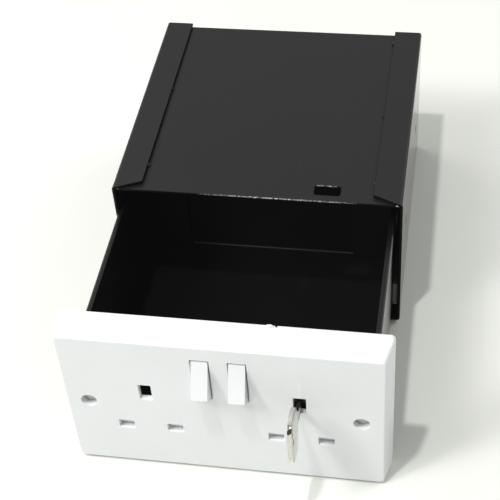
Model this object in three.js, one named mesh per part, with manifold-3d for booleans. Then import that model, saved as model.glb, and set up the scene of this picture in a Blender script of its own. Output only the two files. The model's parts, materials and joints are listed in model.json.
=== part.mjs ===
// A wall safe behind an imitation twin wall socket.
// A black sheet steel housing holds a black sheet steel drawer. The drawer's front carries a white moulded
// plate with two rockers, and a cam lock whose key goes in through the right-hand earth hole.
// Millimetres. +X right, +Y into the wall, +Z up. The origin is the middle of the housing's underside.
import * as THREE from "three";
import { mergeVertices } from "three/addons/utils/BufferGeometryUtils.js";
import Module from "manifold-3d";

const wasm = await Module();
wasm.setup();

// Sheet and clearances
const sheet = 1.2; // coated steel sheet
const foldRadius = 0.4; // inside radius of a fold
const seatGap = 0.3; // between pieces that rest on or in each other
const runGap = 0.3; // between pieces that slide or turn on each other
const arcSteps = 6; // straight steps in a quarter circle

// Housing
const housingWidth = 138;
const housingHeight = 79;
const housingDepth = 134.5;
const flapWidth = 14; // side flaps folded over the top
const flapFrontCut = 5; // how far the flaps' front edge slants back
const panelInset = 0.8; // top panel, in from the front edges of the sides
const backInset = 0.3; // back panel, in from the rear edges of the sides
const slotWidth = 12.5; // lock slot in the top panel
const slotLength = 6.8;
const slotCorner = 1.5;
const fixingHole = 5; // wall fixing screw holes
const sideHoleInset = 32; // from the front and the rear edge
const backHoleSpacing = 80;

// Guide pad on the right side, which keeps the drawer against the left side
const guideThickness = 2.5;
const guideHeight = 14.5;
const guideLength = 22;
const guideLow = 10; // above the housing's underside
const guideInset = 1.5; // behind the housing's front edge

// Drawer
const drawerOpen = 83.4; // plate's back to the housing's front edge, as it stands
const closedGap = 0.5; // the same, when closed
const drawerWall = 61.2; // height of the tray
const drawerRearGap = 6.3; // tray to back panel, when closed
const hemDepth = 7; // rims of the sides, folded double
const flangePastScrew = 8.8; // front flanges, inward past the plate's fixing screws
const rearFlange = 23;
const rearFlangeStand = 1.5; // rear flanges, in front of the back wall

// Faceplate
const plateWidth = 146;
const plateHeight = 85.6;
const plateDepth = 14.7;
const plateDrop = 1.8; // below the housing's underside
const plateShift = -0.8; // plate's middle from the housing's middle
const plateBevelSide = 3; // front face narrower on each side
const plateBevelTop = 1.8; // and lower at top and bottom
const plateBand = 3; // straight rear part of the rim
const plateWall = 2.6;
const plateCorner = 2;
const plateEdge = 0.5; // small chamfer round the front face
const nubWidth = 3.6; // moulding nub on the plate's top rear edge
const nubHeight = 0.7;
const nubDepth = 1.2;
const nubOffset = 20.5;

// Socket holes, in from the plate's middle
const socketOffset = 33.8;
const earthWidth = 5.5;
const earthHeight = 9.6;
const earthRise = 9; // earth hole above the plate's middle
const pinWidth = 7;
const pinHeight = 5;
const pinSpread = 11.1;
const pinDrop = 14.6; // live and neutral holes below the plate's middle
const blankWidth = 34;
const blankHeight = 9;
const blankThickness = 1.4;

// Plate screws
const screwSpacing = 120.6;
const screwHead = 6.6;
const screwHeadDepth = 2.2;
const screwShank = 3.5;
const screwSunk = 2.6; // head's top below the plate's face
const screwEnd = 5.2; // behind the plate's back
const bossWall = 1.6;
const crossWidth = 1;
const crossLength = 4;
const crossDepth = 1.2;
const plateNutAcross = 7;
const plateNutThickness = 2.6;

// Rockers
const rockerSpread = 8; // each rocker from the plate's middle
const rockerWidth = 7.2;
const rockerSideGap = 0.45;
const apertureHeight = 25.1;
const apertureRise = 20.85; // aperture's middle above the plate's middle
const rockerPivotDepth = 5; // behind the plate's face
const rockerPivotRise = 21.5; // above the plate's middle
const rockerFaceTop = [-0.5, 11]; // out of the plate's face, above the pivot
const rockerFaceBottom = [7.4, -5.5];
const rockerFaceHollow = 0.45; // how far the face is dished
const rockerTopRadius = 11.7;
const rockerTopArc = [20, -22]; // degrees from straight up, forwards positive
const rockerBottomRadius = 13;
const rockerBottomArc = [62, -4]; // degrees from straight down, forwards positive
const rockerPin = 2;
const cheek = 1.4; // carrier's cheeks and web
const cheekHeight = 9;
const webHeight = 28;

// Cam lock
const lockOffset = 34; // from the plate's middle
const lockRise = 7.6;
const lockHead = 19;
const lockHeadDepth = 4.6;
const lockBody = 16;
const lockBodyEnd = 6.4; // behind the plate's back
const lockFlats = 14;
const plugDiameter = 12;
const plugFlange = 14;
const plugFlangeDepth = 1.4;
const plugSunk = 0.4; // plug's face below the head's face
const keywayEnd = 5;
const tailSize = 6;
const lockNutAcross = 19;
const lockNutThickness = 3;
const washerDiameter = 14;
const washerThickness = 0.6;
const camWidth = 11;
const camReach = 33;
const camThickness = 2.2;
const camHub = 6.5;
const camTipCorner = 1.5;
const camScrewHead = 9;
const camScrewHeadDepth = 2;
const camScrewShank = 3.5;
const camScrewLength = 3.2;

// Key
const keyThickness = 2;
const bladeHeight = 4.4;
const bladeEnd = 4.4; // blade's tip behind the plate's back
const bladeTip = 1.2;
const bladeGroove = 0.5;
const bladeGrooveWidth = 1;
const bladeNotches = 3;
const notchPitch = 2.4;
const bowGap = 7.3; // bow in front of the plate's face
const bowLength = 14.6;
const bowHeight = 30;
const bowSquareness = 2.6; // power of the superellipse
const bowSteps = 40;
const ringHole = 4;
const ringHoleOut = 18.3; // ring hole's middle in front of the plate's face
const keyLean = 2.5; // degrees, the key's lean to the left in its keyway

// Places that several pieces share
const innerHalf = housingWidth / 2 - sheet;
const trayLeft = -innerHalf + runGap - plateShift;
const guideLeft = innerHalf - seatGap - guideThickness;
const trayRight = guideLeft - runGap - plateShift;
const frontFlange = trayRight - screwSpacing / 2 + flangePastScrew;
const drawerBottom = sheet + runGap;
const drawerRim = drawerBottom + drawerWall;
const topPanelTop = housingHeight - sheet - seatGap;
const backPanelFace = housingDepth - backInset;
const drawerBack = backPanelFace - sheet - drawerRearGap + closedGap;
const frontWall = seatGap; // front of the tray's front wall, behind the plate's back
const frontWallBack = frontWall + sheet;
const sideFront = frontWallBack + seatGap; // front and back of the tray's sides
const sideBack = drawerBack - sheet - rearFlangeStand;
const plateMiddle = plateHeight / 2 - plateDrop;
const plateInside = -plateDepth + plateWall;
const lockZ = plateMiddle + lockRise;
const washerFront = lockBodyEnd + runGap;
const camFront = washerFront + washerThickness + seatGap;
const camBack = camFront + camThickness;
const tailEnd = camBack - seatGap;
const camScrewFront = camBack + seatGap;
const apertureWidth = rockerWidth + 2 * rockerSideGap;
const pivotY = -plateDepth + rockerPivotDepth;
const pivotZ = plateMiddle + rockerPivotRise;
const screwHeadSeat = -plateDepth + screwSunk + screwHeadDepth;
const boreDiameter = screwShank + 2 * seatGap;
const slotMiddle = (camFront + camBack) / 2 - closedGap;

const coatedSteel = new THREE.MeshStandardMaterial({ color: 0x1c1d1f, roughness: 0.45, metalness: 0.2 });
const whitePlastic = new THREE.MeshStandardMaterial({ color: 0xf2f3f1, roughness: 0.35, metalness: 0 });
const zincSteel = new THREE.MeshStandardMaterial({ color: 0xa9abad, roughness: 0.35, metalness: 1 });
const nickel = new THREE.MeshStandardMaterial({ color: 0xb9b8b0, roughness: 0.25, metalness: 1 });
const nylon = new THREE.MeshStandardMaterial({ color: 0x3c3d3a, roughness: 0.6, metalness: 0 });

// A closed geometry as a solid, with its faces turned outwards.
function solid(geometry) {
  const plain = geometry.index ? geometry.toNonIndexed() : geometry.clone();
  plain.deleteAttribute("normal");
  plain.deleteAttribute("uv");
  const merged = mergeVertices(plain, 1e-4);
  const corners = merged.attributes.position.array;
  const kept = [];
  const source = merged.index.array;
  for (let i = 0; i < source.length; i += 3) {
    const [a, b, c] = [source[i], source[i + 1], source[i + 2]];
    if (a !== b && b !== c && a !== c) kept.push(a, b, c);
  }
  const point = (i) => new THREE.Vector3().fromArray(corners, 3 * i);
  let volume = 0;
  for (let i = 0; i < kept.length; i += 3) {
    volume += point(kept[i]).dot(point(kept[i + 1]).cross(point(kept[i + 2])));
  }
  if (volume < 0) {
    for (let i = 0; i < kept.length; i += 3) [kept[i + 1], kept[i + 2]] = [kept[i + 2], kept[i + 1]];
  }
  return new wasm.Manifold(
    new wasm.Mesh({ numProp: 3, vertProperties: corners, triVerts: new Uint32Array(kept) }),
  );
}

// A named mesh from a solid.
function piece(name, body, material) {
  const made = body.getMesh();
  const geometry = new THREE.BufferGeometry();
  geometry.setAttribute("position", new THREE.BufferAttribute(new Float32Array(made.vertProperties), 3));
  geometry.setIndex(new THREE.BufferAttribute(new Uint32Array(made.triVerts), 1));
  geometry.computeVertexNormals();
  const mesh = new THREE.Mesh(geometry, material);
  mesh.name = name;
  return mesh;
}

function flatShape(points) {
  return new THREE.Shape(points.map(([a, b]) => new THREE.Vector2(a, b)));
}

function extruded(points, length) {
  return new THREE.ExtrudeGeometry(flatShape(points), { depth: length, bevelEnabled: false });
}

// Outlines in (x, z), (y, z) and (x, y), extruded along the third direction from start to end.
function alongY(points, start, end) {
  return solid(extruded(points, end - start).rotateX(Math.PI / 2).translate(0, end, 0));
}

function alongX(points, start, end) {
  const turn = new THREE.Matrix4().makeBasis(
    new THREE.Vector3(0, 1, 0),
    new THREE.Vector3(0, 0, 1),
    new THREE.Vector3(1, 0, 0),
  );
  return solid(extruded(points, end - start).applyMatrix4(turn).translate(start, 0, 0));
}

function alongZ(points, start, end) {
  return solid(extruded(points, end - start).translate(0, 0, start));
}

function block(x0, x1, y0, y1, z0, z1) {
  const box = new THREE.BoxGeometry(x1 - x0, y1 - y0, z1 - z0);
  return solid(box.translate((x0 + x1) / 2, (y0 + y1) / 2, (z0 + z1) / 2));
}

// A cylinder along Y, and one with six sides that stands on a corner.
function rod(diameter, x, z, start, end, sides = 4 * arcSteps) {
  const cylinder = new THREE.CylinderGeometry(diameter / 2, diameter / 2, end - start, sides);
  return solid(cylinder.translate(x, (start + end) / 2, z));
}

function hexagon(across, x, z, start, end) {
  return rod((across * 2) / Math.sqrt(3), x, z, start, end, 6);
}

// A cylinder along X.
function crossRod(diameter, start, end, y, z) {
  const cylinder = new THREE.CylinderGeometry(diameter / 2, diameter / 2, end - start, 4 * arcSteps);
  return solid(cylinder.rotateZ(Math.PI / 2).translate((start + end) / 2, y, z));
}

// Points of an arc about a centre, angles in degrees anticlockwise from the first axis.
function arc(centre, radius, from, to, steps = arcSteps) {
  return Array.from({ length: steps + 1 }, (_, i) => {
    const angle = THREE.MathUtils.degToRad(from + ((to - from) * i) / steps);
    return [centre[0] + radius * Math.cos(angle), centre[1] + radius * Math.sin(angle)];
  });
}

function roundedRectangle(width, height, radius, x = 0, z = 0) {
  const [a, b] = [width / 2 - radius, height / 2 - radius];
  return [
    ...arc([x + a, z + b], radius, 0, 90),
    ...arc([x - a, z + b], radius, 90, 180),
    ...arc([x - a, z - b], radius, 180, 270),
    ...arc([x + a, z - b], radius, 270, 360),
  ];
}

// An open path with each square corner rounded by the radius that radiusAt gives for its turn.
// A turn is +1 to the left and -1 to the right.
function roundedPath(points, radiusAt) {
  const path = [points[0]];
  for (let i = 1; i < points.length - 1; i += 1) {
    const here = new THREE.Vector2(...points[i]);
    const arriving = here.clone().sub(new THREE.Vector2(...points[i - 1])).normalize();
    const leaving = new THREE.Vector2(...points[i + 1]).sub(here).normalize();
    const turn = Math.sign(arriving.cross(leaving));
    const radius = radiusAt(turn);
    const inward = new THREE.Vector2(-arriving.y, arriving.x).multiplyScalar(turn * radius);
    const centre = here.clone().addScaledVector(arriving, -radius).add(inward);
    const from = THREE.MathUtils.radToDeg(Math.atan2(-inward.y, -inward.x));
    path.push(...arc([centre.x, centre.y], radius, from, from + 90 * turn));
  }
  path.push(points[points.length - 1]);
  return path;
}

// The outline of a folded sheet, from the path of one face with square corners.
// The sheet lies to the path's left (side 1) or right (side -1).
function foldedSheet(points, side = 1) {
  const offset = points.map((point, i) => {
    const before = points[Math.max(i - 1, 0)];
    const after = points[Math.min(i + 1, points.length - 1)];
    const steps = [
      [point[0] - before[0], point[1] - before[1]],
      [after[0] - point[0], after[1] - point[1]],
    ].filter(([a, b]) => a !== 0 || b !== 0);
    const shift = [0, 0];
    for (const [a, b] of steps) {
      const length = Math.hypot(a, b);
      if (a !== 0) shift[1] = (side * sheet * a) / length;
      if (b !== 0) shift[0] = (-side * sheet * b) / length;
    }
    return [point[0] + shift[0], point[1] + shift[1]];
  });
  const face = roundedPath(points, (turn) => (turn === side ? foldRadius + sheet : foldRadius));
  const other = roundedPath(offset, (turn) => (turn === side ? foldRadius : foldRadius + sheet));
  return [...face, ...other.reverse()];
}

function mirrored(body) {
  return body.mirror([1, 0, 0]);
}

// Housing: base, sides and the two flaps, cut back on a slant at the front, with screw holes in the sides.
function housingWrap() {
  const half = housingWidth / 2;
  const flapEdge = half - flapWidth;
  const outline = foldedSheet([
    [-flapEdge, housingHeight],
    [-half, housingHeight],
    [-half, 0],
    [half, 0],
    [half, housingHeight],
    [flapEdge, housingHeight],
  ]);
  let wrap = alongY(outline, 0, housingDepth);
  const corner = half - foldRadius - sheet;
  const slant = alongZ(
    [
      [corner, -1],
      [corner, 0],
      [flapEdge - 1, flapFrontCut],
      [flapEdge - 1, -1],
    ],
    housingHeight - sheet - seatGap / 2,
    housingHeight + 1,
  );
  wrap = wrap.subtract(slant).subtract(mirrored(slant));
  for (const y of [sideHoleInset, housingDepth - sideHoleInset]) {
    wrap = wrap.subtract(crossRod(fixingHole, -half - 1, half + 1, y, housingHeight / 2));
  }
  return wrap;
}

// Housing: top panel with the lock slot, folded down into the back panel with its screw holes.
function housingTop() {
  const half = innerHalf - seatGap;
  const outline = foldedSheet(
    [
      [panelInset, topPanelTop],
      [backPanelFace, topPanelTop],
      [backPanelFace, sheet + seatGap],
    ],
    -1,
  );
  let panel = alongX(outline, -half, half);
  const slot = roundedRectangle(slotWidth, slotLength, slotCorner, lockOffset + plateShift, slotMiddle);
  panel = panel.subtract(alongZ(slot, topPanelTop - sheet - 1, topPanelTop + 1));
  for (const side of [-1, 1]) {
    const x = (side * backHoleSpacing) / 2;
    const inner = backPanelFace - sheet;
    panel = panel.subtract(rod(fixingHole, x, housingHeight / 2, inner - 1, backPanelFace + 1));
  }
  return panel;
}

function guidePad() {
  const back = guideInset + guideLength;
  return block(guideLeft, guideLeft + guideThickness, guideInset, back, guideLow, guideLow + guideHeight);
}

// Drawer: one folded tray. Its sides have double rims and end in inward flanges.
// Its front and back walls fold up outside the flanges.
function drawerTray() {
  const fold = foldRadius + sheet;
  const walls = foldedSheet([
    [frontWall, drawerRim],
    [frontWall, drawerBottom],
    [drawerBack, drawerBottom],
    [drawerBack, drawerRim],
  ]);
  const base = foldedSheet([
    [trayLeft, drawerBottom + 2 * fold],
    [trayLeft, drawerBottom],
    [trayRight, drawerBottom],
    [trayRight, drawerBottom + 2 * fold],
  ]);
  let tray = alongX(walls, trayLeft + fold, trayRight - fold);
  tray = tray.add(alongY(base, sideFront + fold, sideBack - fold));
  for (const [edge, inward] of [
    [trayLeft, 1],
    [trayRight, -1],
  ]) {
    const side = foldedSheet(
      [
        [edge + inward * rearFlange, sideBack],
        [edge, sideBack],
        [edge, sideFront],
        [edge + inward * frontFlange, sideFront],
      ],
      inward,
    );
    const hem = [edge, edge + inward * 2 * sheet].sort((a, b) => a - b);
    tray = tray
      .add(alongZ(side, drawerBottom + fold, drawerRim))
      .add(block(hem[0], hem[1], sideFront + fold, sideBack - fold, drawerRim - hemDepth, drawerRim));
  }
  const lockHole = rod(lockBody + 2 * seatGap, lockOffset, lockZ, frontWall - 1, frontWallBack + 1);
  tray = tray.subtract(lockHole.intersect(lockFlatBand(seatGap)));
  for (const x of [-screwSpacing / 2, screwSpacing / 2]) {
    tray = tray.subtract(rod(boreDiameter, x, plateMiddle, frontWall - 1, sideFront + sheet + 1));
  }
  return tray;
}

// The space between the lock's two flats, wider by a gap on each side.
function lockFlatBand(gap) {
  const half = lockFlats / 2 + gap;
  const far = lockBody;
  const [left, right] = [lockOffset - half, lockOffset + half];
  return block(left, right, -plateDepth, lockBodyEnd + far, lockZ - far, lockZ + far);
}

// A body through rings of equal point counts, closed at both ends.
function lofted(rings) {
  const count = rings[0].length;
  const positions = [];
  const triangle = (a, b, c) => positions.push(...a, ...b, ...c);
  for (let r = 0; r < rings.length - 1; r += 1) {
    for (let i = 0; i < count; i += 1) {
      const j = (i + 1) % count;
      triangle(rings[r][i], rings[r][j], rings[r + 1][j]);
      triangle(rings[r][i], rings[r + 1][j], rings[r + 1][i]);
    }
  }
  const [first, last] = [rings[0], rings[rings.length - 1]];
  for (let i = 1; i < count - 1; i += 1) {
    triangle(first[0], first[i + 1], first[i]);
    triangle(last[0], last[i], last[i + 1]);
  }
  const geometry = new THREE.BufferGeometry();
  geometry.setAttribute("position", new THREE.Float32BufferAttribute(positions, 3));
  return solid(geometry);
}

function plateRing(width, height, corner, y) {
  return roundedRectangle(width, height, corner, 0, plateMiddle).map(([x, z]) => [x, y, z]);
}

// The plate's outside, or its inside when it is drawn in by a wall.
function plateBody(wall, back) {
  const [width, height] = [plateWidth - 2 * wall, plateHeight - 2 * wall];
  const corner = Math.max(plateCorner - wall, plateEdge);
  const front = -plateDepth + wall;
  const [faceWidth, faceHeight] = [width - 2 * plateBevelSide, height - 2 * plateBevelTop];
  const rings = [plateRing(width, height, corner, back), plateRing(width, height, corner, -plateBand)];
  rings.push(plateRing(faceWidth, faceHeight, corner, front + plateEdge));
  rings.push(plateRing(faceWidth - 2 * plateEdge, faceHeight - 2 * plateEdge, corner, front));
  return lofted(rings);
}

// Faceplate: a bevelled shell with its socket holes, rocker openings and two screw bosses.
function faceplate() {
  const through = (x, z, width, height) =>
    block(x - width / 2, x + width / 2, -plateDepth - 1, plateInside + 1, z - height / 2, z + height / 2);
  let plate = plateBody(0, 0).subtract(plateBody(plateWall, 1));
  const headRoom = screwHead + 2 * seatGap;
  for (const x of [-screwSpacing / 2, screwSpacing / 2]) {
    plate = plate.add(rod(headRoom + 2 * bossWall, x, plateMiddle, plateInside - plateWall / 2, 0));
    plate = plate.subtract(rod(headRoom, x, plateMiddle, -plateDepth - 1, screwHeadSeat + seatGap));
    plate = plate.subtract(rod(boreDiameter, x, plateMiddle, -plateDepth - 1, 1));
  }
  for (const side of [-1, 1]) {
    const middle = side * socketOffset;
    plate = plate.subtract(through(middle, plateMiddle + earthRise, earthWidth, earthHeight));
    for (const spread of [-pinSpread, pinSpread]) {
      plate = plate.subtract(through(middle + spread, plateMiddle - pinDrop, pinWidth, pinHeight));
    }
    const aperture = [apertureWidth, apertureHeight];
    plate = plate.subtract(through(side * rockerSpread, plateMiddle + apertureRise, ...aperture));
  }
  const nubStart = nubOffset - nubWidth / 2;
  const top = plateMiddle + plateHeight / 2;
  return plate.add(block(nubStart, nubStart + nubWidth, -nubDepth, 0, top - plateEdge, top + nubHeight));
}

function socketBlank(side) {
  const [x, z, front] = [side * socketOffset, plateMiddle - pinDrop, plateInside + seatGap];
  return block(
    x - blankWidth / 2,
    x + blankWidth / 2,
    front,
    front + blankThickness,
    z - blankHeight / 2,
    z + blankHeight / 2,
  );
}

// A rocker's outline in (y, z): a dished face from top to bottom, and arcs about the pin behind it.
function rockerOutline() {
  const fromPivot = ([out, up]) => [pivotY - rockerPivotDepth - out, pivotZ + up];
  const [top, bottom] = [fromPivot(rockerFaceTop), fromPivot(rockerFaceBottom)];
  const steps = 8;
  const across = [bottom[1] - top[1], top[0] - bottom[0]];
  const length = Math.hypot(...across);
  const face = Array.from({ length: steps + 1 }, (_, i) => {
    const t = i / steps;
    const dish = (4 * t * (1 - t) * rockerFaceHollow) / length;
    return [
      top[0] + (bottom[0] - top[0]) * t - across[0] * dish,
      top[1] + (bottom[1] - top[1]) * t - across[1] * dish,
    ];
  });
  const centre = [pivotY, pivotZ];
  const below = arc(centre, rockerBottomRadius, 270 - rockerBottomArc[0], 270 - rockerBottomArc[1]);
  const above = arc(centre, rockerTopRadius, 90 + rockerTopArc[1], 90 + rockerTopArc[0]);
  return [...face, ...below, ...above];
}

function rocker(side) {
  const [x, half] = [side * rockerSpread, rockerWidth / 2];
  const body = alongX(rockerOutline(), x - half, x + half);
  return body.subtract(crossRod(rockerPin + 2 * runGap, x - half - 1, x + half + 1, pivotY, pivotZ));
}

// Rocker carrier: a web against the drawer's front wall, with a cheek on each side of each rocker.
function rockerFrame() {
  const inner = rockerSpread - rockerWidth / 2 - rockerSideGap;
  const outer = rockerSpread + rockerWidth / 2 + rockerSideGap;
  const reach = outer + cheek;
  const back = frontWall - seatGap;
  let frame = block(-reach, reach, back - cheek, back, pivotZ - webHeight / 2, pivotZ + webHeight / 2);
  for (const side of [-1, 1]) {
    for (const start of [inner - cheek, outer]) {
      const ends = [side * start, side * (start + cheek)].sort((a, b) => a - b);
      const [low, high] = [pivotZ - cheekHeight / 2, pivotZ + cheekHeight / 2];
      frame = frame.add(block(ends[0], ends[1], plateInside + seatGap, back - cheek / 2, low, high));
    }
  }
  return frame.subtract(crossRod(rockerPin + 2 * seatGap, -reach - 1, reach + 1, pivotY, pivotZ));
}

function rockerPinRod(side) {
  const half = rockerWidth / 2 + rockerSideGap + cheek - seatGap;
  return crossRod(rockerPin, side * rockerSpread - half, side * rockerSpread + half, pivotY, pivotZ);
}

// The recess of a cross-slotted screw head.
function crossRecess(x, z, start, end) {
  const [long, short] = [crossLength / 2, crossWidth / 2];
  const upright = block(x - short, x + short, start, end, z - long, z + long);
  return upright.add(block(x - long, x + long, start, end, z - short, z + short));
}

function faceplateScrew(side) {
  const x = (side * screwSpacing) / 2;
  const top = -plateDepth + screwSunk;
  const head = rod(screwHead, x, plateMiddle, top, screwHeadSeat);
  const screw = head.add(rod(screwShank, x, plateMiddle, top, screwEnd));
  return screw.subtract(crossRecess(x, plateMiddle, top - 1, top + crossDepth));
}

function faceplateNut(side) {
  const x = (side * screwSpacing) / 2;
  const front = sideFront + sheet + seatGap;
  const nut = hexagon(plateNutAcross, x, plateMiddle, front, front + plateNutThickness);
  return nut.subtract(rod(boreDiameter, x, plateMiddle, front - 1, front + plateNutThickness + 1));
}

// Lock: head in front of the drawer's front wall, flatted body through it, bored for the plug.
function lockBodyPiece() {
  const seat = frontWall - seatGap;
  const face = seat - lockHeadDepth;
  const barrel = rod(lockBody, lockOffset, lockZ, seat - 1, lockBodyEnd);
  const lock = rod(lockHead, lockOffset, lockZ, face, seat).add(barrel.intersect(lockFlatBand(0)));
  const flangeRoom = plugSunk + plugFlangeDepth + runGap;
  return lock
    .subtract(rod(plugDiameter + 2 * runGap, lockOffset, lockZ, face - 1, lockBodyEnd + 1))
    .subtract(rod(plugFlange + 2 * runGap, lockOffset, lockZ, face - 1, face + flangeRoom));
}

function lockNut() {
  const front = frontWallBack + seatGap;
  const back = front + lockNutThickness;
  const nut = hexagon(lockNutAcross, lockOffset, lockZ, front, back);
  return nut.subtract(rod(lockBody + 2 * seatGap, lockOffset, lockZ, front - 1, back + 1));
}

function lockPlug() {
  const face = frontWall - seatGap - lockHeadDepth + plugSunk;
  const tail = tailBlock(0, lockBodyEnd - 1, tailEnd);
  const keyHalf = [keyThickness / 2 + seatGap, bladeHeight / 2 + seatGap];
  const keyway = block(
    lockOffset - keyHalf[0],
    lockOffset + keyHalf[0],
    face - 1,
    keywayEnd,
    lockZ - keyHalf[1],
    lockZ + keyHalf[1],
  );
  const screwStart = keywayEnd + 2 * seatGap;
  const screwHole = rod(camScrewShank + 2 * seatGap, lockOffset, lockZ, screwStart, tailEnd + 1);
  return rod(plugDiameter, lockOffset, lockZ, face, lockBodyEnd)
    .add(rod(plugFlange, lockOffset, lockZ, face, face + plugFlangeDepth))
    .add(tail)
    .subtract(keyway)
    .subtract(screwHole);
}

// The plug's square tail, wider by a gap on each side.
function tailBlock(gap, start, end) {
  const half = tailSize / 2 + gap;
  return block(lockOffset - half, lockOffset + half, start, end, lockZ - half, lockZ + half);
}

function tailHole(start, end) {
  return tailBlock(seatGap, start - 1, end + 1);
}

function camWasher() {
  const end = washerFront + washerThickness;
  return rod(washerDiameter, lockOffset, lockZ, washerFront, end).subtract(tailHole(washerFront, end));
}

// Cam: a flat bar that points left when the lock is open.
function lockCam() {
  const half = camWidth / 2;
  const tip = lockOffset - camReach;
  const bar = [
    [lockOffset, lockZ - half],
    [lockOffset, lockZ + half],
    ...arc([tip + camTipCorner, lockZ + half - camTipCorner], camTipCorner, 90, 180),
    ...arc([tip + camTipCorner, lockZ - half + camTipCorner], camTipCorner, 180, 270),
  ];
  return alongY(bar, camFront, camBack)
    .add(rod(2 * camHub, lockOffset, lockZ, camFront, camBack))
    .subtract(tailHole(camFront, camBack));
}

function camScrew() {
  const back = camScrewFront + camScrewHeadDepth;
  const start = camScrewFront - camScrewLength;
  const head = rod(camScrewHead, lockOffset, lockZ, camScrewFront, back);
  const screw = head.add(rod(camScrewShank, lockOffset, lockZ, start, camScrewFront + 1));
  return screw.subtract(crossRecess(lockOffset, lockZ, back - crossDepth, back + 1));
}

// Key, drawn about the lock's axis: an oval bow with its ring hole, and a narrow blade, grooved and notched.
function keyBody() {
  const bowMiddle = -plateDepth - bowGap - bowLength / 2;
  const power = (value) => Math.sign(value) * Math.abs(value) ** (2 / bowSquareness);
  const bow = Array.from({ length: bowSteps }, (_, i) => {
    const angle = (2 * Math.PI * i) / bowSteps;
    return [bowMiddle + (bowLength / 2) * power(Math.cos(angle)), (bowHeight / 2) * power(Math.sin(angle))];
  });
  const [half, low, high] = [keyThickness / 2, -bladeHeight / 2, bladeHeight / 2];
  const blade = [
    [bowMiddle, low],
    [bladeEnd - bladeTip, low],
    [bladeEnd, low + bladeTip],
    [bladeEnd, high - bladeTip],
    [bladeEnd - bladeTip, high],
    [bowMiddle, high],
  ];
  let key = alongX(bow, -half, half).add(alongX(blade, -half, half));
  key = key.subtract(crossRod(ringHole, -half - 1, half + 1, -plateDepth - ringHoleOut, 0));
  const grooveFrom = -plateDepth - bowGap + 1;
  const grooveHalf = bladeGrooveWidth / 2;
  key = key.subtract(block(half - bladeGroove, half + 1, grooveFrom, bladeEnd + 1, -grooveHalf, grooveHalf));
  for (let i = 0; i < bladeNotches; i += 1) {
    const middle = bladeEnd - bladeTip - notchPitch * (i + 0.5);
    const deep = high - bladeGroove * (1 + (i % 2));
    const notch = [
      [middle - notchPitch / 2, high],
      [middle, deep],
      [middle + notchPitch / 2, high],
      [middle + notchPitch / 2, high + 1],
      [middle - notchPitch / 2, high + 1],
    ];
    key = key.subtract(alongX(notch, -half - 1, half + 1));
  }
  return key;
}

const housing = new THREE.Group();
housing.add(piece("housing_wrap", housingWrap(), coatedSteel));
housing.add(piece("housing_top", housingTop(), coatedSteel));
housing.add(piece("guide_pad", guidePad(), nylon));

// The drawer's own frame has its X = 0 in the plate's middle and its Y = 0 at the plate's back.
const drawer = new THREE.Group();
drawer.position.set(plateShift, -drawerOpen, 0);
drawer.add(piece("drawer_tray", drawerTray(), coatedSteel));
drawer.add(piece("faceplate", faceplate(), whitePlastic));
drawer.add(piece("rocker_frame", rockerFrame(), whitePlastic));
for (const [hand, side] of [
  ["left", -1],
  ["right", 1],
]) {
  drawer.add(piece(`socket_blank_${hand}`, socketBlank(side), whitePlastic));
  drawer.add(piece(`rocker_${hand}`, rocker(side), whitePlastic));
  drawer.add(piece(`rocker_pin_${hand}`, rockerPinRod(side), zincSteel));
  drawer.add(piece(`faceplate_screw_${hand}`, faceplateScrew(side), zincSteel));
  drawer.add(piece(`faceplate_nut_${hand}`, faceplateNut(side), zincSteel));
}
drawer.add(piece("lock_body", lockBodyPiece(), zincSteel));
drawer.add(piece("lock_nut", lockNut(), zincSteel));
drawer.add(piece("lock_plug", lockPlug(), nickel));
drawer.add(piece("cam_washer", camWasher(), zincSteel));
drawer.add(piece("lock_cam", lockCam(), zincSteel));
drawer.add(piece("cam_screw", camScrew(), zincSteel));

// The key leans about the middle of the stretch that its keyway holds.
const keyMiddle = (frontWall - seatGap - lockHeadDepth + plugSunk + bladeEnd) / 2;
const key = piece("key", keyBody().translate([0, -keyMiddle, 0]), nickel);
key.position.set(lockOffset, keyMiddle, lockZ);
key.rotation.z = -THREE.MathUtils.degToRad(keyLean);
drawer.add(key);
housing.add(drawer);

const safe = new THREE.Group();
housing.position.y = -housingDepth / 2;
safe.add(housing);

export default safe;
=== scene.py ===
import json
import math

import bmesh
import bpy
import numpy as np
from mathutils import Matrix, Vector
from mathutils.geometry import delaunay_2d_cdt, tessellate_polygon


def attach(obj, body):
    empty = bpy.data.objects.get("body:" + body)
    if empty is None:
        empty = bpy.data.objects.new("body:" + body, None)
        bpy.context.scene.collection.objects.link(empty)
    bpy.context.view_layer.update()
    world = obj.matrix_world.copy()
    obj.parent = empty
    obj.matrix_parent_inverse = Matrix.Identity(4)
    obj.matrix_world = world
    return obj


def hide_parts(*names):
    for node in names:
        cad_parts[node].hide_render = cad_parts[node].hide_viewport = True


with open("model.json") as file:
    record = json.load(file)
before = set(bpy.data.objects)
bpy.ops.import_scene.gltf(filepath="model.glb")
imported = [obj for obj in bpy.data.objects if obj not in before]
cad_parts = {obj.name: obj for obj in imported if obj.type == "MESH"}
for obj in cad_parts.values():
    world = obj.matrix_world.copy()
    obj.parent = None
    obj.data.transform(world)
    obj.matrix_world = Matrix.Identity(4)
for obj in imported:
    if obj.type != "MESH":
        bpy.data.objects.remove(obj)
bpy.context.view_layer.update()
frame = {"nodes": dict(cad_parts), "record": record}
nodes = frame["nodes"]
print("frame loaded:", len(nodes), "nodes")

mm = 0.001
housingOrigin = np.array([0.0, -67.25, 0.0])  # housing's front edge, middle of its underside
plateOrigin = np.array([-0.8, -150.65, 0.0])  # middle of the plate's back plane, level with that underside

# Shape tools work in millimetres. A loop is a closed row of points with two coordinates.


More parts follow.
